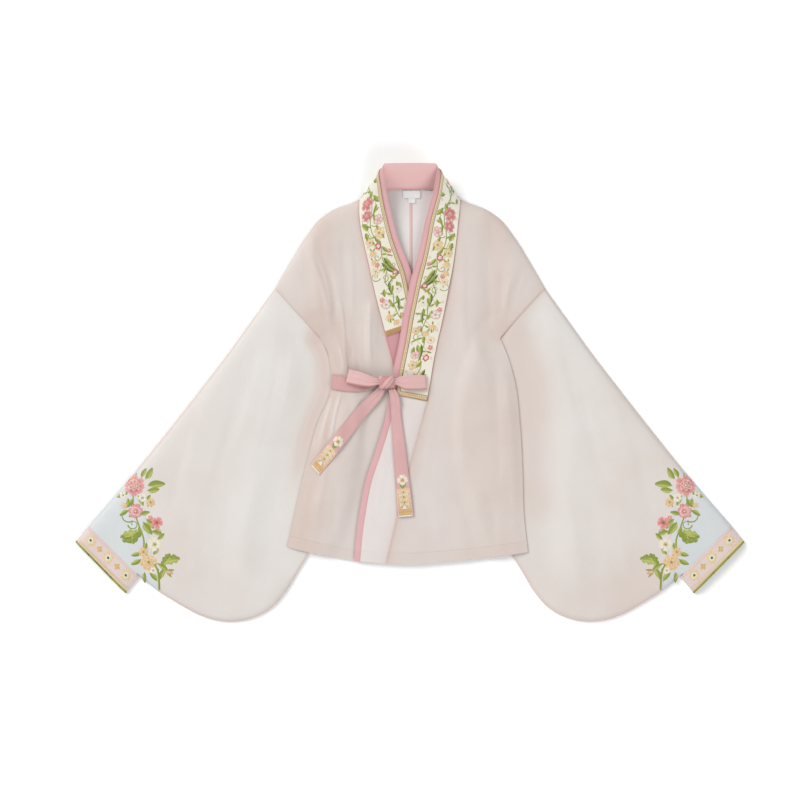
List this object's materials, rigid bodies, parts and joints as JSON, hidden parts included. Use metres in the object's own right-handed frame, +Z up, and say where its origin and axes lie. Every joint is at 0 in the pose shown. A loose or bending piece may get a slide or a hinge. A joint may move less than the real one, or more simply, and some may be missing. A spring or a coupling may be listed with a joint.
{
  "type": "cross-collar jacket",
  "caption": "Short Ming-style jacket laid flat: right-lapping front, standing cross collar, wide rounded sleeves on narrow cuffs, and a ribbon tie in a bow.",
  "frame": {"origin": "middle of the laid jacket's bounding box, on the surface that it lies on", "axes": "+X to the wearer's left, +Y towards the neck, +Z up through the front"},
  "size_m": [1.204, 0.8242, 0.0482],
  "materials": {
    "body": "satin weave, pale pink",
    "gore": "satin weave, pale pink",
    "sleeve": "satin weave, pale pink",
    "sleeve_end": "satin weave, white, embroidered",
    "cuff": "patterned silk",
    "cuff_binding": "olive and gold binding",
    "collar": "plain weave, dusty pink",
    "collar_band": "cream silk, embroidered",
    "braid": "gold braid",
    "tie": "plain weave, dusty pink",
    "label": "woven satin, blank"
  },
  "bodies": {
    "root": {"body_left": "body", "body_right": "body", "gore_outer": "gore", "gore_inner": "gore", "sleeve_left": "sleeve", "sleeve_right": "sleeve", "sleeve_end_left": "sleeve_end", "sleeve_end_right": "sleeve_end", "cuff_left": "cuff", "cuff_right": "cuff", "cuff_binding_left": "cuff_binding", "cuff_binding_right": "cuff_binding", "collar": "collar", "collar_band": "collar_band", "collar_braid": "braid", "front_edging": "collar", "tie_side": "tie", "tail_left": "tie", "tail_right": "tie", "loop_left": "tie", "loop_right": "tie", "knot": "tie", "neck_label": "label", "size_label": "label"}
  },
  "joints": []
}
